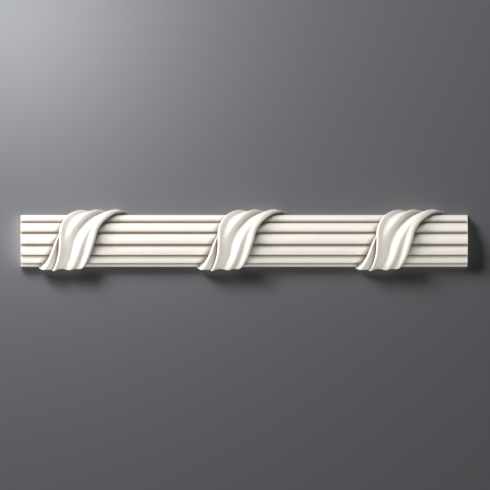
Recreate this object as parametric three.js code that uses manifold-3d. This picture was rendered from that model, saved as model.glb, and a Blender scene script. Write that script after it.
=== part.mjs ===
// Decorative wall moulding, cast in one piece: a half-round band of reeds on a flat slab, bound by
// draped ribbons that cross it on the slant at an even pitch.
// Millimetres. X runs along the moulding, Z is up and the front faces -Y. The origin is the middle of
// the flat back, which lies in the plane Y = 0. "Depth" is the distance in front of that plane.
import * as THREE from "three";
import { mergeVertices } from "three/addons/utils/BufferGeometryUtils.js";
import Module from "manifold-3d";

// Band
const LENGTH = 685; // cut square at both ends
const BAND_HEIGHT = 79;
const SLAB_DEPTH = 7; // flat slab that the reeds stand on
const LISTEL_HEIGHT = 7; // flat strip of the slab that shows under the lowest reed
const TOP_LEDGE = 1.6; // strip of the slab that stays above the top groove
const ARRIS_RADIUS = 0.8; // softened front edge of the slab's foot
const REED_COUNT = 5;
const REED_ARC_HALF_ANGLE = THREE.MathUtils.degToRad(65); // the grooves lie on an arc of twice this
const REED_RISE = 6.4; // a reed's crest over the chord between its two grooves
const REED_SEGMENTS = 7;

// Ribbons
const FIRST_RIBBON = 99.4; // left end to the first ribbon's middle
const RIBBON_PITCH = 243;
const RIBBON_REACH = 68.5; // a ribbon's middle to its far tips, along the band
const RIBBON_RISE = 6.6; // highest fold over the ribbon's bed
const RIBBON_BED_OVER_REEDS = 1.6; // bed over the middle reed's crest
const RIBBON_BED_OVER_EDGES = 3.6; // bed over the band's top and under its foot
const RIBBON_BED_SQUARENESS = 2.4; // 2 is an ellipse, more is squarer
const RIBBON_ROOT = 12; // how far the cast cloth goes in under its bed, to be one with the band
const LEFT_UNDERCUT = 4.5; // how far the left side leans in on the way down to the root
const RIGHT_UNDERCUT = 12; // and the right side, which stands clear of the reeds
const FLAP_RIM_RADIUS = 4;
const FLAP_END_RADIUS = 2.3; // where the flap ends under the ribbon
const WIDEST_ROUNDING = 0.35; // share of a layer's width that the rounding of one border may take
const RIBBON_ROWS = 30; // from the wall over the top, down the front and back to the wall
const WALL_SETTLING = 0.7; // share of the folds' rise that is lost where the cloth meets the wall
const WALL_SETTLING_REACH = 0.09; // over this share of the way round

// A ribbon's borders, as places along the band in shares of the reach, at even steps of the way
// round from the wall above to the wall below.
const LEFT_RIM = [0.12, -0.37, -0.565, -0.588, -0.61, -0.7, -0.81];
const RIGHT_HEM = [0.96, 0.59, 0.315, 0.215, 0.12, -0.012, -0.14];
const FLAP_RIM = [-0.4, -0.45, -0.5, -0.66, -0.775, -0.92, -1.05]; // the layer under the left rim
const FLAP_START = 1 / 3; // share of the way round where the flap begins, hidden by the ribbon
const FLAP_TUCK = 0.12; // how far it reaches in under the ribbon, as a share of the reach

// Radii of a ribbon's rounded borders, at even steps of the same way round.
const LEFT_RIM_RADII = [7, 4.6, 3.6, 4.3, 4.6];
const RIGHT_HEM_RADII = [0.6, 2.4, 2.4, 2.4, 2.4];

// Folds from left to right, with five values each at even steps of the way round. "across" is the
// place as a share of the way between the two borders, "rise" a share of the full rise, and "soft"
// half the width over which the fold is rounded, as a share of the reach.
const FOLDS = [
  // left rim
  { across: [0, 0, 0, 0, 0], rise: [1.1, 1.12, 0.98, 1.0, 0.92], soft: 0 },
  // hollow inside the rim
  { across: [0.22, 0.2, 0.15, 0.14, 0.14], rise: [0.15, 0.54, 0.6, 0.54, 0.42], soft: 0.03 },
  // crest that dies out downwards
  { across: [0.44, 0.42, 0.25, 0.22, 0.22], rise: [1.02, 0.94, 0.46, 0.32, 0.2], soft: 0.045 },
  // deep crease
  { across: [0.6, 0.59, 0.44, 0.41, 0.43], rise: [-0.2, 0.12, 0.06, 0.0, -0.06], soft: 0.022 },
  // main crest
  { across: [0.83, 0.79, 0.64, 0.58, 0.57], rise: [0.88, 1.0, 0.94, 0.8, 0.5], soft: 0.05 },
  // crease that opens downwards
  { across: [0.9, 0.87, 0.785, 0.775, 0.84], rise: [0.84, 1.02, 0.6, 0.2, -0.12], soft: 0.025 },
  // crest beside the hem
  { across: [0.95, 0.93, 0.91, 0.91, 0.92], rise: [0.74, 1.0, 1.0, 0.7, 0.02], soft: 0.03 },
  // right hem
  { across: [1, 1, 1, 1, 1], rise: [0.6, 0.82, 0.84, 0.48, -0.1], soft: 0 },
];
const FLAP_FOLDS = [
  // flap rim
  { across: [0, 0, 0, 0, 0], rise: [0.3, 0.55, 0.78, 0.7, 0.35], soft: 0 },
  // hollow beside the ribbon
  { across: [0.6, 0.6, 0.55, 0.5, 0.5], rise: [0, 0, 0.12, 0.2, 0.35], soft: 0.04 },
  // end under the ribbon
  { across: [1, 1, 1, 1, 1], rise: [0, 0, 0.25, 0.3, 0.4], soft: 0 },
];

const wasm = await Module();
wasm.setup();

const { lerp } = THREE.MathUtils;

// The centre and radii of the arc on which the grooves lie.
function reedArc() {
  const topZ = BAND_HEIGHT / 2 - TOP_LEDGE;
  const footZ = LISTEL_HEIGHT - BAND_HEIGHT / 2;
  const radius = (topZ - footZ) / 2 / Math.sin(REED_ARC_HALF_ANGLE);
  const centreDepth = SLAB_DEPTH - radius * Math.cos(REED_ARC_HALF_ANGLE);
  const step = (2 * REED_ARC_HALF_ANGLE) / REED_COUNT;
  const crestDepth = centreDepth + radius * Math.cos(step / 2) + REED_RISE;
  return { centreZ: (topZ + footZ) / 2, centreDepth, radius, step, crestDepth };
}

// The band's cross-section, with depth as x and height as y.
function bandShape() {
  const { centreZ, centreDepth, radius, step } = reedArc();
  const shape = new THREE.Shape();
  const bottom = -BAND_HEIGHT / 2;
  shape.moveTo(0, bottom);
  shape.lineTo(SLAB_DEPTH - ARRIS_RADIUS, bottom);
  shape.absarc(SLAB_DEPTH - ARRIS_RADIUS, bottom + ARRIS_RADIUS, ARRIS_RADIUS, -Math.PI / 2, 0, false);
  const halfChord = radius * Math.sin(step / 2);
  const reedRadius = (halfChord ** 2 + REED_RISE ** 2) / (2 * REED_RISE);
  const reedHalfAngle = Math.asin(halfChord / reedRadius);
  const reedCentreRadius = radius * Math.cos(step / 2) + REED_RISE - reedRadius;
  for (let i = 0; i < REED_COUNT; i++) {
    const middle = -REED_ARC_HALF_ANGLE + step * (i + 0.5);
    shape.absarc(
      centreDepth + reedCentreRadius * Math.cos(middle),
      centreZ + reedCentreRadius * Math.sin(middle),
      reedRadius,
      middle - reedHalfAngle,
      middle + reedHalfAngle,
      false,
    );
  }
  shape.lineTo(SLAB_DEPTH, BAND_HEIGHT / 2);
  shape.lineTo(0, BAND_HEIGHT / 2);
  return shape;
}

// A closed geometry as a solid that can be joined and cut.
function solidOf(geometry) {
  const bare = geometry.index ? geometry.toNonIndexed() : geometry.clone();
  bare.deleteAttribute("normal");
  bare.deleteAttribute("uv");
  const merged = mergeVertices(bare, 1e-4);
  return new wasm.Manifold(
    new wasm.Mesh({
      numProp: 3,
      vertProperties: merged.attributes.position.array,
      triVerts: new Uint32Array(merged.index.array),
    }),
  );
}

function bandSolid() {
  const geometry = new THREE.ExtrudeGeometry(bandShape(), {
    depth: LENGTH,
    bevelEnabled: false,
    curveSegments: REED_SEGMENTS,
  });
  // The section's x becomes -Y and its y becomes Z, so the extrusion runs towards -X.
  geometry.applyMatrix4(
    new THREE.Matrix4().makeBasis(
      new THREE.Vector3(0, -1, 0),
      new THREE.Vector3(0, 0, 1),
      new THREE.Vector3(-1, 0, 0),
    ),
  );
  geometry.translate(LENGTH / 2, 0, 0);
  return solidOf(geometry);
}

// A smooth value at a share of the way round, from controls at even steps.
function along(controls, share) {
  const last = controls.length - 1;
  const i = Math.min(Math.floor(share * last), last - 1);
  const t = share * last - i;
  const inner = (k) => (controls[k + 1] - controls[k - 1]) / 2;
  const slope = (k) => {
    if (k === 0) return 2 * (controls[1] - controls[0]) - inner(1);
    if (k === last) return 2 * (controls[last] - controls[last - 1]) - inner(last - 1);
    return inner(k);
  };
  const slopeIn = slope(i);
  const slopeOut = slope(i + 1);
  const t2 = t * t;
  const t3 = t2 * t;
  return (
    (2 * t3 - 3 * t2 + 1) * controls[i] +
    (t3 - 2 * t2 + t) * slopeIn +
    (3 * t2 - 2 * t3) * controls[i + 1] +
    (t3 - t2) * slopeOut
  );
}

// The ribbon's bed at a share of the way round, as a point and outward normal in (depth, z).
function bedAt(share) {
  const { crestDepth } = reedArc();
  const semiDepth = crestDepth + RIBBON_BED_OVER_REEDS;
  const semiHeight = BAND_HEIGHT / 2 + RIBBON_BED_OVER_EDGES;
  const angle = Math.PI * (0.5 - share);
  const cos = Math.max(Math.cos(angle), 0);
  const sin = Math.sin(angle);
  const power = RIBBON_BED_SQUARENESS;
  const sum = (cos / semiDepth) ** power + Math.abs(sin / semiHeight) ** power;
  const radius = sum ** (-1 / power);
  const normal = new THREE.Vector2(
    ((radius * cos) / semiDepth) ** (power - 1) / semiDepth,
    (Math.sign(sin) * Math.abs((radius * sin) / semiHeight) ** (power - 1)) / semiHeight,
  ).normalize();
  if (cos < 1e-9) normal.set(0, Math.sign(sin));
  return { point: new THREE.Vector2(radius * cos, radius * sin), normal };
}

// The share of a fold's rise that is left near the wall, where the cloth lies down.
function settled(share) {
  const fromWall = Math.min(share, 1 - share);
  return 1 - WALL_SETTLING * (1 - THREE.MathUtils.smoothstep(fromWall, 0, WALL_SETTLING_REACH));
}

// A ramp from 0 with slope 1, rounded over the given half width.
function softRamp(x, soft) {
  if (x <= -soft) return 0;
  if (x >= soft) return x;
  return (x + soft) ** 2 / (4 * soft);
}

// Height over the bed at a place x, for folds that stand at the given places.
function foldRise(x, folds, places, rises, leftRadius, rightRadius) {
  let slope = (rises[1] - rises[0]) / (places[1] - places[0]);
  let height = rises[0] + slope * (x - places[0]);
  for (let k = 1; k < folds.length - 1; k++) {
    const next = (rises[k + 1] - rises[k]) / (places[k + 1] - places[k]);
    height += (next - slope) * softRamp(x - places[k], folds[k].soft * RIBBON_REACH);
    slope = next;
  }
  const round = (distance, radius) =>
    distance < radius ? radius - Math.sqrt(radius ** 2 - (radius - distance) ** 2) : 0;
  const last = places[places.length - 1];
  return height - round(x - places[0], leftRadius) - round(last - x, rightRadius);
}

// Where the columns of a layer stand: finer at the rounded borders, then some between each two folds.
function columnPlaces(places, leftRadius, rightRadius, inner) {
  const first = places[0];
  const last = places[places.length - 1];
  const border = [0, 0.13, 0.45, 1];
  const columns = border.map((f) => first + f * leftRadius);
  for (let k = 0; k < places.length - 1; k++) {
    const from = k === 0 ? first + leftRadius : places[k];
    const to = k === places.length - 2 ? last - rightRadius : places[k + 1];
    for (const f of inner) columns.push(lerp(from, to, f));
    if (k < places.length - 2) columns.push(to);
  }
  return columns.concat(border.map((f) => last - f * rightRadius).reverse());
}

// One layer of draped cloth as a closed solid, from a share of the way round to the wall below.
function layerSolid(centreX, layer) {
  const { leftAt, rightAt, folds, leftRadii, rightRadii, rightUndercut, start, inner } = layer;
  const rows = Math.round(RIBBON_ROWS * (1 - start));
  const grid = Array.from({ length: rows + 1 }, (_, row) => {
    const share = lerp(1, start, row / rows);
    const left = leftAt(share);
    const right = rightAt(share);
    const places = folds.map((fold) => lerp(left, right, along(fold.across, share)));
    const rises = folds.map((fold) => along(fold.rise, share) * settled(share) * RIBBON_RISE);
    const widest = WIDEST_ROUNDING * (right - left);
    const leftRadius = Math.min(along(leftRadii, share), widest);
    const rightRadius = Math.min(along(rightRadii, share), widest);
    const columns = columnPlaces(places, leftRadius, rightRadius, inner);
    const { point, normal } = bedAt(share);
    return columns.map((x) => {
      const rise = foldRise(x, folds, places, rises, leftRadius, rightRadius);
      const top = point.clone().addScaledVector(normal, rise);
      const root = point.clone().addScaledVector(normal, -RIBBON_ROOT);
      const rootX = lerp(left + LEFT_UNDERCUT, right - rightUndercut, (x - left) / (right - left));
      return { top: [centreX + x, -top.x, top.y], root: [centreX + rootX, -root.x, root.y] };
    });
  });
  const columnCount = grid[0].length - 1;
  // A box with a cell for each patch of cloth, bent into place.
  const box = new THREE.BoxGeometry(1, 1, 1, columnCount, rows, 1);
  const position = box.attributes.position;
  for (let i = 0; i < position.count; i++) {
    const column = Math.round((position.getX(i) + 0.5) * columnCount);
    const row = Math.round((position.getY(i) + 0.5) * rows);
    const cell = grid[row][column];
    position.setXYZ(i, ...(position.getZ(i) > 0 ? cell.top : cell.root));
  }
  return solidOf(box);
}

function ribbonSolid(centreX) {
  const left = (share) => along(LEFT_RIM, share) * RIBBON_REACH;
  const right = (share) => along(RIGHT_HEM, share) * RIBBON_REACH;
  const flapLeft = (share) => along(FLAP_RIM, share) * RIBBON_REACH;
  const flapRight = (share) => left(share) + FLAP_TUCK * RIBBON_REACH;
  const cloth = layerSolid(centreX, {
    leftAt: left,
    rightAt: right,
    folds: FOLDS,
    leftRadii: LEFT_RIM_RADII,
    rightRadii: RIGHT_HEM_RADII,
    rightUndercut: RIGHT_UNDERCUT,
    start: 0,
    inner: [1 / 3, 2 / 3],
  });
  const flap = layerSolid(centreX, {
    leftAt: flapLeft,
    rightAt: flapRight,
    folds: FLAP_FOLDS,
    leftRadii: Array(3).fill(FLAP_RIM_RADIUS),
    rightRadii: Array(3).fill(FLAP_END_RADIUS),
    rightUndercut: 0,
    start: FLAP_START,
    inner: [1 / 2],
  });
  return cloth.add(flap);
}

// The length between the two square cuts, as a block larger than the section.
function lengthBlock() {
  const reach = 4 * BAND_HEIGHT;
  return solidOf(new THREE.BoxGeometry(LENGTH, reach, reach));
}

function mouldingSolid() {
  let solid = bandSolid();
  for (let middle = FIRST_RIBBON; middle - RIBBON_REACH < LENGTH; middle += RIBBON_PITCH) {
    solid = solid.add(ribbonSolid(middle - LENGTH / 2));
  }
  return solid.intersect(lengthBlock());
}

// A joined solid as a geometry with flat faces.
function geometryOf(solid) {
  const { vertProperties, triVerts } = solid.getMesh();
  const indexed = new THREE.BufferGeometry();
  indexed.setAttribute("position", new THREE.BufferAttribute(new Float32Array(vertProperties), 3));
  indexed.setIndex(new THREE.BufferAttribute(new Uint32Array(triVerts), 1));
  const geometry = indexed.toNonIndexed();
  geometry.computeVertexNormals();
  return geometry;
}

const plaster = new THREE.MeshStandardMaterial({ color: 0xeeebe4, roughness: 0.7, metalness: 0 });
const moulding = new THREE.Mesh(geometryOf(mouldingSolid()), plaster);
moulding.name = "ribbon_reed_moulding";

const part = new THREE.Group();
part.add(moulding);
export default part;
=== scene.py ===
"""A ribbon and reed wall moulding, cast in plaster and painted warm white, on a plain studio wall.

X runs along the moulding, Z is up and the front faces -Y. The flat back lies in the plane Y = 0,
and "depth" is the distance in front of that plane. Lengths are in metres, and MM turns the real
sizes, given in millimetres, into metres.
"""

import logging
import math
from collections.abc import Callable, Iterable, Sequence
from dataclasses import dataclass
from enum import Enum

import bmesh
import bpy
from mathutils import Euler, Matrix, Vector
from mathutils.bvhtree import BVHTree


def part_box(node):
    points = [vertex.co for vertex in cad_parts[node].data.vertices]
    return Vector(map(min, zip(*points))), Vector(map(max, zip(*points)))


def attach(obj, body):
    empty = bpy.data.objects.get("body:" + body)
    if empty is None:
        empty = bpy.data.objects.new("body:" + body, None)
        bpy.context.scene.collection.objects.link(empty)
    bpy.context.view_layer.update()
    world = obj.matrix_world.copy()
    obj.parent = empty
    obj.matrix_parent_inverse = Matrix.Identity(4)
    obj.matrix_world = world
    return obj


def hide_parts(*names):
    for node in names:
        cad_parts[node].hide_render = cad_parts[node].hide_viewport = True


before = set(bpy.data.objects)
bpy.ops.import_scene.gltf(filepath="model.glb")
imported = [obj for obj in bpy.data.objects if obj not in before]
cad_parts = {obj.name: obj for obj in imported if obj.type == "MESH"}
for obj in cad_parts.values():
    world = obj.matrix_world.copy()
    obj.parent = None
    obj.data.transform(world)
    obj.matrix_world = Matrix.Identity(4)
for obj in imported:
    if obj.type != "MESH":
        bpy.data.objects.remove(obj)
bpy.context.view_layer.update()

LOG = logging.getLogger("moulding")
MM = 0.001
NODE = "ribbon_reed_moulding"
# Name of the point attribute that holds the mask of painted shade.
PAINTED_SHADE = "painted_shade"
NEARLY_ZERO = 1e-9


def linear(hex_colour: str) -> tuple[float, float, float, float]:
    """Turns an sRGB hex colour into Blender's linear colour.

    Args:
        hex_colour: A colour such as "#F2EEE6".

    Returns:
        Linear red, green and blue, and an alpha of 1.
    """
    shares = [int(hex_colour[i : i + 2], 16) / 255 for i in (1, 3, 5)]
    red, green, blue = (
        s / 12.92 if s <= 0.04045 else ((s + 0.055) / 1.055) ** 2.4 for s in shares
    )
    return red, green, blue, 1.0


def mix(a: float, b: float, share: float) -> float:
    """Returns the value a share of the way from a to b."""
    return a + (b - a) * share


def smoothstep(value: float) -> float:
    """Returns 0 below 0, 1 above 1 and an S-curve between them."""
    t = min(max(value, 0.0), 1.0)
    return t * t * (3 - 2 * t)


def soft_ramp(x: float, soft: float) -> float:
    """Returns a ramp from 0 with slope 1, rounded over a half width of soft."""
    if x <= -soft:
        return 0.0
    if x >= soft:
        return x
    return (x + soft) ** 2 / (4 * soft)


def along(controls: Sequence[float], share: float) -> float:
    """Reads a smooth curve through controls at even steps.

    Args:
        controls: The curve's values at even steps from share 0 to share 1.
        share: Where to read it.

    Returns:
        The curve's value there.
    """
    last = len(controls) - 1
    i = min(int(share * last), last - 1)
    t = share * last - i

    def inner(k: int) -> float:
        """Returns the slope at a control between two others."""
        return (controls[k + 1] - controls[k - 1]) / 2

    def slope(k: int) -> float:
        """Returns the slope at any control, set at the ends so that the curve runs out evenly."""
        if k == 0:
            return 2 * (controls[1] - controls[0]) - inner(1)
        if k == last:
            return 2 * (controls[last] - controls[last - 1]) - inner(last - 1)
        return inner(k)

    t2, t3 = t * t, t * t * t
    return (
        (2 * t3 - 3 * t2 + 1) * controls[i]
        + (t3 - 2 * t2 + t) * slope(i)
        + (3 * t2 - 2 * t3) * controls[i + 1]
        + (t3 - t2) * slope(i + 1)
    )


def spun_tip(spun: dict[str, list]) -> bmesh.types.BMVert:
    """Returns the last point of an outline that a spin has drawn."""
    return next(g for g in spun["geom_last"] if isinstance(g, bmesh.types.BMVert))


def object_of(mesh: bmesh.types.BMesh, name: str) -> bpy.types.Object:
    """Turns a finished bmesh into an object of the scene, at the origin.

    Args:
        mesh: The bmesh, which is freed.
        name: The new object's name.

    Returns:
        The object.
    """
    bmesh.ops.recalc_face_normals(mesh, faces=mesh.faces[:])
    data = bpy.data.meshes.new(name)
    mesh.to_mesh(data)
    mesh.free()
    made = bpy.data.objects.new(name, data)
    bpy.context.scene.collection.objects.link(made)
    return made


@dataclass(frozen=True)
class Band:
    """The half-round band of reeds on its flat slab, as a cross-section and its run.

    Attributes:
        length: Its length.
        height: Its height.
        slab_depth: The depth of the slab on which the reeds stand.
        listel: The height of the plain strip under the reeds.
        top_ledge: The height of the ledge over them.
        arris: The rounding of the foot's front edge.
        arris_steps: The straight pieces of that rounding.
        reeds: The number of reeds.
        arc_half_angle: Half the arc round which they stand.
        reed_rise: A reed's crest over the line between its two grooves.
        reed_steps: The straight pieces of one reed's outline.
        groove_fillet: How far a groove's fillet reaches to either side of the groove.
        fillet_steps: The straight pieces of that fillet.
        fillet_profile: The fillet's form, where 0.5 is round.
        run_step: About how long one step along the length is.
        merge_distance: Points of the outline that lie nearer than this become one.
        groove_tolerance: How far from a groove a point still counts as on it.
    """

    length: float
    height: float = 79 * MM
    slab_depth: float = 7 * MM
    listel: float = 7 * MM
    top_ledge: float = 1.6 * MM
    arris: float = 0.8 * MM
    arris_steps: int = 4
    reeds: int = 5
    arc_half_angle: float = math.radians(65)
    reed_rise: float = 6.4 * MM
    reed_steps: int = 16
    groove_fillet: float = 0.45 * MM
    fillet_steps: int = 3
    fillet_profile: float = 0.5
    run_step: float = 1.8 * MM
    merge_distance: float = 0.01 * MM
    groove_tolerance: float = 0.02 * MM

    @property
    def arc_radius(self) -> float:
        """Radius of the arc on which the grooves lie."""
        chord = self.height - self.top_ledge - self.listel
        return chord / 2 / math.sin(self.arc_half_angle)

    @property
    def arc_centre(self) -> tuple[float, float]:
        """Depth and height of that arc's centre."""
        depth = self.slab_depth - self.arc_radius * math.cos(self.arc_half_angle)
        return depth, (self.listel - self.top_ledge) / 2

    @property
    def reed_angle(self) -> float:
        """Angle of the arc that one reed takes."""
        return 2 * self.arc_half_angle / self.reeds

    @property
    def crest_depth(self) -> float:
        """Depth of the middle reed's crest."""
        half = self.reed_angle / 2
        return self.arc_centre[0] + self.arc_radius * math.cos(half) + self.reed_rise

    def groove(self, number: int) -> Vector:
        """Returns the place of a groove at the left end, counted upwards from 0 at the foot."""
        angle = -self.arc_half_angle + number * self.reed_angle
        depth, height = self.arc_centre
        return Vector(
            (
                -self.length / 2,
                -(depth + self.arc_radius * math.cos(angle)),
                height + self.arc_radius * math.sin(angle),
            )
        )

    def draw_outline(self, mesh: bmesh.types.BMesh) -> None:
        """Draws the left end's closed outline: the foot, the reeds one by one and the slab.

        Args:
            mesh: An empty mesh, which gets the outline.
        """
        left, bottom, top = -self.length / 2, -self.height / 2, self.height / 2
        corner = self.slab_depth - self.arris
        heel = mesh.verts.new((left, -corner, bottom))
        arris = bmesh.ops.spin(
            mesh,
            geom=[heel],
            cent=(left, -corner, bottom + self.arris),
            axis=(1, 0, 0),
            angle=-math.pi / 2,
            steps=self.arris_steps,
        )
        tip = spun_tip(arris)
        half_chord = self.arc_radius * math.sin(self.reed_angle / 2)
        radius = (half_chord**2 + self.reed_rise**2) / (2 * self.reed_rise)
        turn = 2 * math.asin(half_chord / radius)
        for number in range(self.reeds):
            start = mesh.verts.new(self.groove(number))
            mesh.edges.new((tip, start))
            middle = (self.groove(number) + self.groove(number + 1)) / 2
            out = -self.arc_half_angle + (number + 0.5) * self.reed_angle
            inward = Vector((0, math.cos(out), -math.sin(out)))
            reed = bmesh.ops.spin(
                mesh,
                geom=[start],
                cent=middle + inward * (radius - self.reed_rise),
                axis=(1, 0, 0),
                angle=-turn,
                steps=self.reed_steps,
            )
            tip = spun_tip(reed)
        for y, z in ((-self.slab_depth, top), (0, top), (0, bottom)):
            corner_vert = mesh.verts.new((left, y, z))
            mesh.edges.new((tip, corner_vert))
            tip = corner_vert
        mesh.edges.new((tip, heel))
        bmesh.ops.remove_doubles(mesh, verts=mesh.verts[:], dist=self.merge_distance)

    def build(self) -> bpy.types.Object:
        """Builds the band by running its outline out along X.

        Returns:
            The band as one closed mesh.
        """
        mesh = bmesh.new()
        self.draw_outline(mesh)
        steps = round(self.length / self.run_step)
        bmesh.ops.spin(
            mesh,
            geom=mesh.edges[:],
            cent=(0, 0, 0),
            axis=(1, 0, 0),
            dvec=(self.length / steps, 0, 0),
            angle=0,
            steps=steps,
        )
        ends = [e for e in mesh.edges if e.is_boundary]
        bmesh.ops.holes_fill(mesh, edges=ends)
        bmesh.ops.recalc_face_normals(mesh, faces=mesh.faces[:])
        self.soften_grooves(mesh)
        return object_of(mesh, "band")

    def soften_grooves(self, mesh: bmesh.types.BMesh) -> None:
        """Fillets the bottoms of the grooves, as paint and plaster leave them.

        Args:
            mesh: The band, which is changed.
        """
        near = self.groove_tolerance
        places = [self.groove(n) for n in range(self.reeds + 1)]

        def on_groove(vert: bmesh.types.BMVert) -> bool:
            """Returns whether a point lies on the bottom of a groove."""
            return any((vert.co.yz - p.yz).length < near for p in places)

        runs = [
            e
            for e in mesh.edges
            if abs(e.verts[0].co.x - e.verts[1].co.x) > near and all(map(on_groove, e.verts))
        ]
        bmesh.ops.bevel(
            mesh,
            geom=runs,
            offset=self.groove_fillet,
            offset_type="OFFSET",
            affect="EDGES",
            segments=self.fillet_steps,
            profile=self.fillet_profile,
            material=-1,
        )


@dataclass(frozen=True)
class Fold:
    """One crest or crease of the cloth, with five values from the wall above to the wall below.

    Attributes:
        across: Its place, as a share of the way from the left border to the right one.
        rise: Its height, as a share of the cloth's full rise.
        soft: Half the width over which it is rounded, as a share of the reach.
    """

    across: tuple[float, float, float, float, float]
    rise: tuple[float, float, float, float, float]
    soft: float = 0.0


@dataclass(frozen=True)
class Cloth:
    """One layer of draped ribbon: its borders, its folds and the rounding of its edges.

    Attributes:
        left: The left border's places, as shares of the reach, at even steps of the way round.
        right: The right border's places.
        folds: The folds, from left to right.
        left_radius: The rounding of the left border, at even steps of the way round.
        right_radius: The rounding of the right border.
        left_undercut: How far in from the left border the root stands.
        right_undercut: And how far in from the right one.
        start: The share of the way round at which the layer starts.
        columns: The grid's cells from border to border.
        rows: The grid's cells from the layer's start to the wall below.
    """

    left: tuple[float, ...]
    right: tuple[float, ...]
    folds: tuple[Fold, ...]
    left_radius: tuple[float, ...]
    right_radius: tuple[float, ...]
    left_undercut: float
    right_undercut: float
    start: float
    columns: int
    rows: int


@dataclass(frozen=True)
class Ribbon:
    """A draped ribbon with its lower flap, modelled about its own middle at X = 0.

    Attributes:
        band: The band that it lies over.
        reach: Its middle to its far tips, along the band.
        full_rise: Its highest fold over its bed.
        over_reeds: Its bed over the middle reed's crest.
        over_edges: Its bed over the band's top and under its foot.
        squareness: The bed's form: 2 is an ellipse, more is squarer.
        root: How far the cast cloth goes in under its bed, to be one with the band.
        wall_settling: The share of the folds' rise that is lost where the cloth meets the wall.
        wall_settling_reach: The share of the way round over which it is lost.
        border_density: How much closer the columns stand at the borders, from 0 to under 1.
        left_rim: The left border's places, as shares of the reach, at even steps of the way round.
        right_hem: The right border's places.
        flap_rim: The left border's places of the layer under the left rim.
        flap_tuck: How far that layer reaches in under the ribbon, as a share of the reach.
        folds: The ribbon's folds, from left to right.
        flap_folds: The flap's folds.
    """

    band: Band
    reach: float = 68.5 * MM
    full_rise: float = 6.6 * MM
    over_reeds: float = 1.6 * MM
    over_edges: float = 3.6 * MM
    squareness: float = 2.4
    root: float = 12 * MM
    wall_settling: float = 0.7
    wall_settling_reach: float = 0.09
    border_density: float = 0.88

    left_rim: tuple[float, ...] = (0.12, -0.37, -0.565, -0.588, -0.61, -0.7, -0.81)
    right_hem: tuple[float, ...] = (0.96, 0.59, 0.315, 0.215, 0.12, -0.012, -0.14)
    flap_rim: tuple[float, ...] = (-0.4, -0.45, -0.5, -0.66, -0.775, -0.92, -1.05)
    flap_tuck: float = 0.12

    folds: tuple[Fold, ...] = (
        # left rim
        Fold((0, 0, 0, 0, 0), (1.1, 1.12, 0.98, 1.0, 0.92)),
        # hollow inside the rim
        Fold((0.22, 0.2, 0.15, 0.14, 0.14), (0.15, 0.54, 0.6, 0.54, 0.42), 0.03),
        # crest that dies out downwards
        Fold((0.44, 0.42, 0.25, 0.22, 0.22), (1.02, 0.94, 0.46, 0.32, 0.2), 0.045),
        # deep crease
        Fold((0.6, 0.59, 0.44, 0.41, 0.43), (-0.2, 0.12, 0.06, 0.0, -0.06), 0.022),
        # main crest
        Fold((0.83, 0.79, 0.64, 0.58, 0.57), (0.88, 1.0, 0.94, 0.8, 0.5), 0.05),
        # crease that opens downwards
        Fold((0.9, 0.87, 0.785, 0.775, 0.84), (0.84, 1.02, 0.6, 0.2, -0.12), 0.025),
        # crest beside the hem
        Fold((0.95, 0.93, 0.91, 0.91, 0.92), (0.74, 1.0, 1.0, 0.7, 0.02), 0.03),
        # right hem
        Fold((1, 1, 1, 1, 1), (0.6, 0.82, 0.84, 0.48, -0.1)),
    )
    flap_folds: tuple[Fold, ...] = (
        # flap rim
        Fold((0, 0, 0, 0, 0), (0.3, 0.55, 0.78, 0.7, 0.35)),
        # hollow beside the ribbon
        Fold((0.6, 0.6, 0.55, 0.5, 0.5), (0, 0, 0.12, 0.2, 0.35), 0.04),
        # end under the ribbon
        Fold((1, 1, 1, 1, 1), (0, 0, 0.25, 0.3, 0.4)),
    )

    @property
    def semi_depth(self) -> float:
        """Depth of the bed's crest."""
        return self.band.crest_depth + self.over_reeds

    @property
    def semi_height(self) -> float:
        """Height of the bed's top over its middle."""
        return self.band.height / 2 + self.over_edges

    def layers(self) -> tuple[Cloth, Cloth]:
        """Returns the ribbon itself and the flap under its left rim."""
        tucked = tuple(x + self.flap_tuck for x in self.left_rim)
        cloth = Cloth(
            left=self.left_rim,
            right=self.right_hem,
            folds=self.folds,
            left_radius=(7 * MM, 4.6 * MM, 3.6 * MM, 4.3 * MM, 4.6 * MM),
            right_radius=(0.6 * MM, 2.4 * MM, 2.4 * MM, 2.4 * MM, 2.4 * MM),
            left_undercut=4.5 * MM,
            right_undercut=12 * MM,
            start=0,
            columns=96,
            rows=130,
        )
        flap = Cloth(
            left=self.flap_rim,
            right=tucked,
            folds=self.flap_folds,
            left_radius=(4 * MM, 4 * MM, 4 * MM),
            right_radius=(2.3 * MM, 2.3 * MM, 2.3 * MM),
            left_undercut=4.5 * MM,
            right_undercut=0,
            start=1 / 3,
            columns=40,
            rows=84,
        )
        return cloth, flap

    def bed(self, share: float) -> tuple[Vector, Vector]:
        """Reads the rounded bed on which the cloth lies.

        Args:
            share: How far round, from 0 at the wall above to 1 at the wall below.

        Returns:
            The bed's point and outward normal there, both as (depth, height).
        """
        angle = math.pi * (0.5 - share)
        cos, sin = max(math.cos(angle), 0.0), math.sin(angle)
        power = self.squareness
        total = (cos / self.semi_depth) ** power + abs(sin / self.semi_height) ** power
        radius = total ** (-1 / power)
        point = Vector((radius * cos, radius * sin))
        if cos < NEARLY_ZERO:
            return point, Vector((0, math.copysign(1, sin)))
        height_part = abs(point.y / self.semi_height) ** (power - 1) / self.semi_height
        depth_part = (point.x / self.semi_depth) ** (power - 1) / self.semi_depth
        return point, Vector((depth_part, math.copysign(height_part, sin))).normalized()

    def settled(self, share: float) -> float:
        """Returns the share of the folds' rise that is left near the wall."""
        from_wall = min(share, 1 - share) / self.wall_settling_reach
        return 1 - self.wall_settling * (1 - smoothstep(from_wall))

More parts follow.
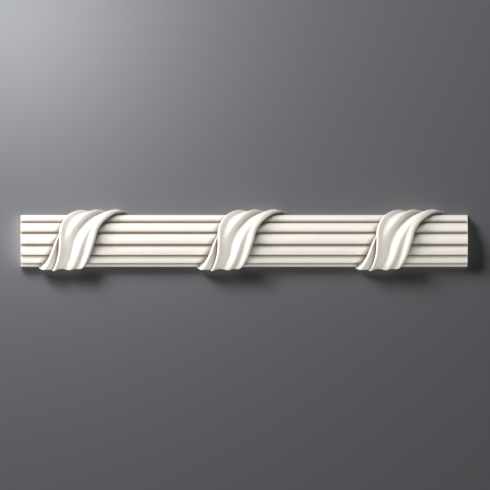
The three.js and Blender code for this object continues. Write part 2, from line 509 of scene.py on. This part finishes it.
    def relief(
        self, cloth: Cloth, share: float, left: float, right: float
    ) -> Callable[[float], float]:
        """Prepares the cloth's height over its bed along one row.

        Args:
            cloth: The layer.
            share: How far round the row lies.
            left: The left border's place there, in metres.
            right: The right border's place there.

        Returns:
            A function that turns a place between the borders into a height.
        """
        places = [mix(left, right, along(f.across, share)) for f in cloth.folds]
        settled = self.settled(share) * self.full_rise
        rises = [along(f.rise, share) * settled for f in cloth.folds]
        slopes = [
            (rises[k + 1] - rises[k]) / (places[k + 1] - places[k]) for k in range(len(places) - 1)
        ]

        left_radius = along(cloth.left_radius, share)
        right_radius = along(cloth.right_radius, share)

        def rounding(distance: float, radius: float) -> float:
            """Returns how far a rounded border has dropped at a distance from its edge."""
            if distance >= radius:
                return 0.0
            return radius - math.sqrt(max(radius**2 - (radius - distance) ** 2, 0.0))

        def height(x: float) -> float:
            """Returns the cloth's height at x: its folds, less the rounding of both borders."""
            total = rises[0] + slopes[0] * (x - places[0])
            for k in range(1, len(slopes)):
                bend = slopes[k] - slopes[k - 1]
                total += bend * soft_ramp(x - places[k], cloth.folds[k].soft * self.reach)
            total -= rounding(x - left, left_radius)
            return total - rounding(right - x, right_radius)

        return height

    def build_layer(self, cloth: Cloth, name: str) -> bpy.types.Object:
        """Builds one layer from a grid that is bent into place and extruded down to its root.

        Args:
            cloth: The layer.
            name: The new object's name.

        Returns:
            The layer as one closed mesh.
        """
        mesh = bmesh.new()
        bmesh.ops.create_grid(mesh, x_segments=cloth.columns, y_segments=cloth.rows, size=0.5)
        rows: dict[int, list[tuple[float, bmesh.types.BMVert]]] = {}
        for vert in mesh.verts:
            row = round((0.5 - vert.co.y) * cloth.rows)
            rows.setdefault(row, []).append((vert.co.x + 0.5, vert))
        roots: dict[tuple[float, float, float], Vector] = {}
        for row, verts in rows.items():
            share = mix(cloth.start, 1, row / cloth.rows)
            left = along(cloth.left, share) * self.reach
            right = along(cloth.right, share) * self.reach
            height = self.relief(cloth, share, left, right)
            point, normal = self.bed(share)
            for u, vert in verts:
                across = u - self.border_density * math.sin(2 * math.pi * u) / (2 * math.pi)
                x = mix(left, right, across)
                top = point + normal * height(x)
                deep = point - normal * self.root
                deep_x = mix(left + cloth.left_undercut, right - cloth.right_undercut, across)
                vert.co = (x, -top.x, top.y)
                roots[tuple(vert.co)] = Vector((deep_x, -deep.x, deep.y))
        rooted = bmesh.ops.extrude_face_region(mesh, geom=mesh.faces[:])
        for part in rooted["geom"]:
            if isinstance(part, bmesh.types.BMVert):
                part.co = roots[tuple(part.co)]
        return object_of(mesh, name)

    def build(self) -> list[bpy.types.Object]:
        """Builds the ribbon's two layers, which the moulding then joins to its band."""
        cloth, flap = self.layers()
        return [self.build_layer(cloth, "ribbon"), self.build_layer(flap, "flap")]


@dataclass(frozen=True)
class PaintedPlaster:
    """Cast gypsum plaster under a satin emulsion: smooth and matt, with a faint grain and a soft
    sheen, warm off-white, with painted shade: a darker, browner tint in the grooves and corners.

    Attributes:
        face: The paint's colour.
        shade: The colour of its slightly deeper patches.
        painted_shade: The painted shade's colour, where a point is fully enclosed.
        roughness: Its mean roughness.
        roughness_spread: The most by which the roughness strays from that.
        grain: The size of the grain.
        grain_depth: The height of the grain.
        grain_detail: The number of finer layers in the grain.
        grain_strength: The strength of each finer layer.
        mottle: The size of the deeper patches.
        mottle_detail: The number of finer layers in the patches.
        mottle_strength: The strength of each finer layer.
        ior: The paint's index of refraction.
    """

    face: str = "#F0EBE3"
    shade: str = "#EBE5DB"
    # Painted shade: the brown that the paint is darkened to in grooves, corners and beside the
    # ribbons.
    painted_shade: str = "#867A6E"
    roughness: float = 0.5
    roughness_spread: float = 0.07
    grain: float = 2.2 * MM
    grain_depth: float = 0.02 * MM
    grain_detail: float = 4.0
    grain_strength: float = 0.6
    mottle: float = 38 * MM
    mottle_detail: float = 3.0
    mottle_strength: float = 0.55
    ior: float = 1.5

    def build(self) -> bpy.types.Material:
        """Builds the material.

        Returns:
            The material, which darkens its colour by the mesh's "painted_shade" attribute, as
            painted shade.
        """
        material = bpy.data.materials.new("satin_painted_plaster")
        material.use_nodes = True
        tree = material.node_tree
        shader = tree.nodes["Principled BSDF"]
        shader.inputs["IOR"].default_value = self.ior

        def add(
            kind: str,
            settings: dict[int | str, object],
            links: dict[int | str, bpy.types.NodeSocket],
        ) -> bpy.types.NodeOutputs:
            """Adds a node.

            Args:
                kind: The node's type.
                settings: Its properties, and the values of its inputs.
                links: The sockets that its inputs are linked to.

            Returns:
                The node's outputs.
            """
            node = tree.nodes.new(kind)
            for key, value in settings.items():
                if isinstance(key, str) and hasattr(node, key):
                    setattr(node, key, value)
                else:
                    node.inputs[key].default_value = value
            for key, socket in links.items():
                tree.links.new(socket, node.inputs[key])
            return node.outputs

        place = add("ShaderNodeTexCoord", {}, {})["Object"]
        mottle = add(
            "ShaderNodeTexNoise",
            {
                "Scale": 1 / self.mottle,
                "Detail": self.mottle_detail,
                "Roughness": self.mottle_strength,
            },
            {"Vector": place},
        )["Fac"]
        grain = add(
            "ShaderNodeTexNoise",
            {
                "Scale": 1 / self.grain,
                "Detail": self.grain_detail,
                "Roughness": self.grain_strength,
            },
            {"Vector": place},
        )["Fac"]
        paint = add(
            "ShaderNodeMix",
            {"data_type": "RGBA", 6: linear(self.face), 7: linear(self.shade)},
            {0: mottle},
        )[2]
        # Painted shade: the enclosure mask darkens the paint towards that brown in grooves,
        # corners and under the ribbons' hems.
        painted_shade = add("ShaderNodeAttribute", {"attribute_name": PAINTED_SHADE}, {})["Fac"]
        colour = add(
            "ShaderNodeMix",
            {"data_type": "RGBA", 7: linear(self.painted_shade)},
            {0: painted_shade, 6: paint},
        )[2]
        sheen = add(
            "ShaderNodeMapRange",
            {
                "To Min": self.roughness - self.roughness_spread,
                "To Max": self.roughness + self.roughness_spread,
            },
            {"Value": grain},
        )["Result"]
        bump = add(
            "ShaderNodeBump",
            {"Strength": 1.0, "Distance": self.grain_depth},
            {"Height": grain},
        )["Normal"]
        tree.links.new(colour, shader.inputs["Base Color"])
        tree.links.new(sheen, shader.inputs["Roughness"])
        tree.links.new(bump, shader.inputs["Normal"])
        return material


@dataclass(frozen=True)
class Moulding:
    """The whole casting: the band with its ribbons at an even pitch, as one closed mesh.

    Attributes:
        band: The band of reeds.
        ribbon: The ribbon that is repeated along it.
        finish: The plaster and its paint.
        first_ribbon: The left end to the first ribbon's middle.
        pitch: The ribbons' middles to each other.
        sliver: Edges shorter than this are closed up.
        sharp_angle: Edges that turn more than this stay sharp in the shading.
        painted_shade_rays: How many ways a point looks to see how enclosed it is, for the painted
            shade.
        painted_shade_reach: How far it looks.
        painted_shade_full: The enclosed share from which it counts as fully enclosed.
        painted_shade_power: How soon the painted shade sets in, where more is sooner.
        painted_shade_lift: How far over the surface it looks from.
    """

    band: Band
    ribbon: Ribbon
    finish: PaintedPlaster
    first_ribbon: float = 99.4 * MM
    pitch: float = 243 * MM
    sliver: float = 0.004 * MM
    sharp_angle: float = math.radians(35)
    painted_shade_rays: int = 40
    painted_shade_reach: float = 12 * MM
    painted_shade_full: float = 0.4
    painted_shade_power: float = 2.4
    painted_shade_lift: float = 0.05 * MM

    def ribbon_places(self) -> list[float]:
        """Returns where the ribbons' middles stand along X."""
        places = []
        place = self.first_ribbon
        while place - self.ribbon.reach < self.band.length:
            places.append(place - self.band.length / 2)
            place += self.pitch
        return places

    def build(self) -> bpy.types.Object:
        """Builds the moulding and dresses it.

        Returns:
            The finished piece.
        """
        piece = self.band.build()
        piece.name = "moulding"
        layers = self.ribbon.build()
        for place in self.ribbon_places():
            for layer in layers:
                copy = layer.copy()
                copy.data = layer.data.copy()
                copy.data.transform(Matrix.Translation((place, 0, 0)))
                bpy.context.scene.collection.objects.link(copy)
                self.join(piece, copy)
        for layer in layers:
            bpy.data.objects.remove(layer)
        self.tidy(piece)
        # Paints occlusion shade into the colour: darker in grooves, corners and beside the
        # ribbons.
        self.mark_painted_shade(piece)
        piece.data.materials.clear()
        piece.data.materials.append(self.finish.build())
        return piece

    def join(self, piece: bpy.types.Object, other: bpy.types.Object) -> None:
        """Joins another closed mesh to the piece as one solid, and removes it."""
        union = piece.modifiers.new("union", "BOOLEAN")
        union.operation = "UNION"
        union.solver = "MANIFOLD"
        union.object = other
        bpy.context.view_layer.update()
        joined = bpy.data.meshes.new_from_object(
            piece.evaluated_get(bpy.context.evaluated_depsgraph_get())
        )
        piece.modifiers.clear()
        piece.data = joined
        bpy.data.objects.remove(other)

    def tidy(self, piece: bpy.types.Object) -> None:
        """Cuts the faces to triangles, drops slivers and shades all but real edges smooth."""
        mesh = bmesh.new()
        mesh.from_mesh(piece.data)
        bmesh.ops.triangulate(mesh, faces=mesh.faces[:])
        bmesh.ops.dissolve_degenerate(mesh, edges=mesh.edges[:], dist=self.sliver)
        bmesh.ops.triangulate(mesh, faces=mesh.faces[:])
        for face in mesh.faces:
            face.smooth = True
        mesh.to_mesh(piece.data)
        mesh.free()
        piece.data.set_sharp_from_angle(angle=self.sharp_angle)

    def mark_painted_shade(self, piece: bpy.types.Object) -> None:
        """Writes how enclosed each point is, from 0 on open faces and the back to 1 in a groove,
        as a mask of painted shade.

        Args:
            piece: The moulding, which gets the point attribute "painted_shade".
        """
        tree = BVHTree.FromObject(piece, bpy.context.evaluated_depsgraph_get())
        golden = math.pi * (3 - math.sqrt(5))
        fan = []
        for ray in range(self.painted_shade_rays):
            up = math.sqrt((ray + 0.5) / self.painted_shade_rays)
            out = math.sqrt(1 - up * up)
            fan.append(Vector((out * math.cos(ray * golden), out * math.sin(ray * golden), up)))
        attribute = piece.data.attributes.new(PAINTED_SHADE, "FLOAT", "POINT")
        for vert, value in zip(piece.data.vertices, attribute.data):
            if vert.co.y > -self.painted_shade_lift:
                continue
            turn = vert.normal.to_track_quat("Z", "Y")
            start = vert.co + vert.normal * self.painted_shade_lift
            hits = 0.0
            for ray in fan:
                _, _, _, distance = tree.ray_cast(start, turn @ ray, self.painted_shade_reach)
                if distance is not None:
                    hits += 1 - distance / self.painted_shade_reach
            open_share = max(0.0, 1 - hits / self.painted_shade_rays / self.painted_shade_full)
            value.value = 1 - open_share**self.painted_shade_power


class Lit(Enum):
    """What a light reaches."""

    STAGE = "lit_stage"
    MOULDING = "lit_moulding"


@dataclass(frozen=True)
class Lamp:
    """One soft light of the studio.

    Attributes:
        place: Where it hangs.
        width: The side of its square face.
        power: Its power in watts.
        lit: What it lights.
        aim: The place that it faces, the moulding's middle if none is given.
        passes_rest: Whether its light passes through all that it doesn't light.
    """

    place: tuple[float, float, float]
    width: float
    power: float
    lit: Lit
    aim: tuple[float, float, float] = (0, 0, 0)
    passes_rest: bool = False


class Softbox(Enum):
    """The studio's lights. WASH throws a brighter pool on the wall, up and to the left, and REAR
    lights the flat back for the views from behind."""

    WALL = Lamp((-0.95, -1.2, 1.38), 0.8, 30.0, Lit.STAGE)
    WASH = Lamp((-0.38, -0.34, 0.37), 0.15, 1.6, Lit.STAGE, (-0.38, 0, 0.37))
    KEY = Lamp((-1.95, -0.52, 0.85), 0.7, 36.0, Lit.MOULDING)
    TOP = Lamp((-0.5, -0.8, 1.9), 0.8, 24.0, Lit.MOULDING)
    SIDE = Lamp((-1.95, -0.9, 0.25), 0.8, 21.0, Lit.MOULDING)
    FRONT = Lamp((0.3, -2.2, 0.8), 0.9, 7.5, Lit.MOULDING)
    FOOT = Lamp((-1.85, -0.6, -1.15), 0.8, 47.0, Lit.MOULDING)
    RIGHT = Lamp((1.4, -1.4, -1.0), 0.9, 16.5, Lit.MOULDING)
    REAR = Lamp((0.4, 2.2, 0), 0.9, 40.0, Lit.MOULDING, passes_rest=True)


@dataclass(frozen=True)
class Studio:
    """The plain wall and floor, the soft lights and the camera at the photograph's angle.

    Attributes:
        frame_width: The width of what the camera sees, in the plane of the wall.
        lens: The lens, long enough to see the moulding almost without perspective.
        sensor: The camera's sensor width.
        shift_right: The middle of the view to the right of the moulding's middle.
        shift_down: And below it.
        wall_gap: The wall behind the moulding's flat back.
        wall_size: The wall's length and height.
        wall_colour: The wall's colour.
        floor_drop: The floor below the moulding's middle.
        floor_size: The floor's length and width.
        floor_colour: The floor's colour.
        stage_roughness: The roughness of the wall and the floor.
        surround: The strength of the dim, even light all round.
        surround_colour: Its colour.
    """

    frame_width: float = 752.4 * MM
    lens: float = 600.0
    sensor: float = 36.0
    shift_right: float = 1.4 * MM
    shift_down: float = 6.5 * MM
    wall_gap: float = 0.5 * MM
    wall_size: tuple[float, float] = (5.0, 4.0)
    wall_colour: str = "#808186"
    floor_drop: float = 2.0
    floor_size: tuple[float, float] = (12.0, 12.0)
    floor_colour: str = "#D9D7D3"
    stage_roughness: float = 0.9
    surround: float = 0.05
    surround_colour: str = "#FFFFFF"

    def surface(self, name: str, colour: str, size: tuple[float, float]) -> bpy.types.Object:
        """Makes a flat rectangle that faces up and can be seen through from below.

        Args:
            name: The new object's name.
            colour: Its colour, in sRGB hex.
            size: Its length and width.

        Returns:
            The rectangle, marked as part of the stage.
        """
        mesh = bmesh.new()
        bmesh.ops.create_grid(mesh, x_segments=1, y_segments=1, size=0.5)
        bmesh.ops.scale(mesh, vec=(*size, 1), verts=mesh.verts[:])
        made = object_of(mesh, name)
        material = bpy.data.materials.new(name)
        material.use_nodes = True
        tree = material.node_tree
        shader = tree.nodes["Principled BSDF"]
        shader.inputs["Base Color"].default_value = linear(colour)
        shader.inputs["Roughness"].default_value = self.stage_roughness
        clear = tree.nodes.new("ShaderNodeBsdfTransparent")
        side = tree.nodes.new("ShaderNodeNewGeometry")
        choose = tree.nodes.new("ShaderNodeMixShader")
        tree.links.new(side.outputs["Backfacing"], choose.inputs[0])
        tree.links.new(shader.outputs[0], choose.inputs[1])
        tree.links.new(clear.outputs[0], choose.inputs[2])
        tree.links.new(choose.outputs[0], tree.nodes["Material Output"].inputs["Surface"])
        made.data.materials.append(material)
        return made

    def build_wall(self) -> bpy.types.Object:
        """Stands a plain wall on the floor, behind the moulding."""
        wall = self.surface("wall", self.wall_colour, self.wall_size)
        wall.data.transform(Euler((math.pi / 2, 0, 0)).to_matrix().to_4x4())
        middle = self.wall_size[1] / 2 - self.floor_drop
        wall.data.transform(Matrix.Translation((0, self.wall_gap, middle)))
        return wall

    def build_floor(self) -> bpy.types.Object:
        """Lays the pale floor below the view."""
        floor = self.surface("floor", self.floor_colour, self.floor_size)
        floor.data.transform(Matrix.Translation((0, 0, -self.floor_drop)))
        return floor

    def build_lights(self, piece: bpy.types.Object, surfaces: Sequence[bpy.types.Object]) -> None:
        """Hangs the softboxes and sets a dim, even surround.

        Args:
            piece: The moulding.
            surfaces: The wall and the floor.
        """
        lit_things = {Lit.MOULDING: [piece], Lit.STAGE: surfaces}
        receivers = {lit: bpy.data.collections.new(lit.value) for lit in Lit}
        for lit, things in lit_things.items():
            for thing in things:
                receivers[lit].objects.link(thing)
        for softbox in Softbox:
            lamp = softbox.value
            light = bpy.data.lights.new(softbox.name.lower(), "AREA")
            light.shape = "SQUARE"
            light.size = lamp.width
            light.energy = lamp.power
            stand = bpy.data.objects.new(softbox.name.lower(), light)
            stand.location = lamp.place
            facing = Vector(lamp.aim) - Vector(lamp.place)
            stand.rotation_euler = facing.to_track_quat("-Z", "Y").to_euler()
            stand.visible_camera = False
            bpy.context.scene.collection.objects.link(stand)
            stand.light_linking.receiver_collection = receivers[lamp.lit]
            if lamp.passes_rest:
                stand.light_linking.blocker_collection = receivers[lamp.lit]
        world = bpy.data.worlds.new("studio")
        world.use_nodes = True
        background = world.node_tree.nodes["Background"]
        background.inputs["Color"].default_value = linear(self.surround_colour)
        background.inputs["Strength"].default_value = self.surround
        bpy.context.scene.world = world

    def build_camera(self) -> None:
        """Sets the camera straight in front, as the photograph was taken."""
        camera = bpy.data.cameras.new("camera")
        camera.lens = self.lens
        camera.sensor_width = self.sensor
        stand = bpy.data.objects.new("camera", camera)
        distance = self.frame_width * self.lens / self.sensor
        stand.location = (self.shift_right, -distance, -self.shift_down)
        stand.rotation_euler = (math.pi / 2, 0, 0)
        bpy.context.scene.collection.objects.link(stand)
        bpy.context.scene.camera = stand

    def build(self, piece: bpy.types.Object) -> None:
        """Builds the whole studio around the moulding."""
        self.build_camera()
        self.build_lights(piece, [self.build_wall(), self.build_floor()])
        bpy.context.scene.view_settings.view_transform = "Standard"


def main() -> None:
    """Builds the studio and the moulding, and logs the moulding's triangle count."""
    logging.basicConfig(level=logging.INFO, format="%(message)s")
    low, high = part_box(NODE)
    band = Band(high.x - low.x)
    piece = Moulding(band, Ribbon(band), PaintedPlaster()).build()
    Studio().build(piece)
    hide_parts(NODE)
    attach(piece, "root")
    LOG.info("%s: %d triangles", piece.name, len(piece.data.polygons))


if __name__ == "__main__":
    main()
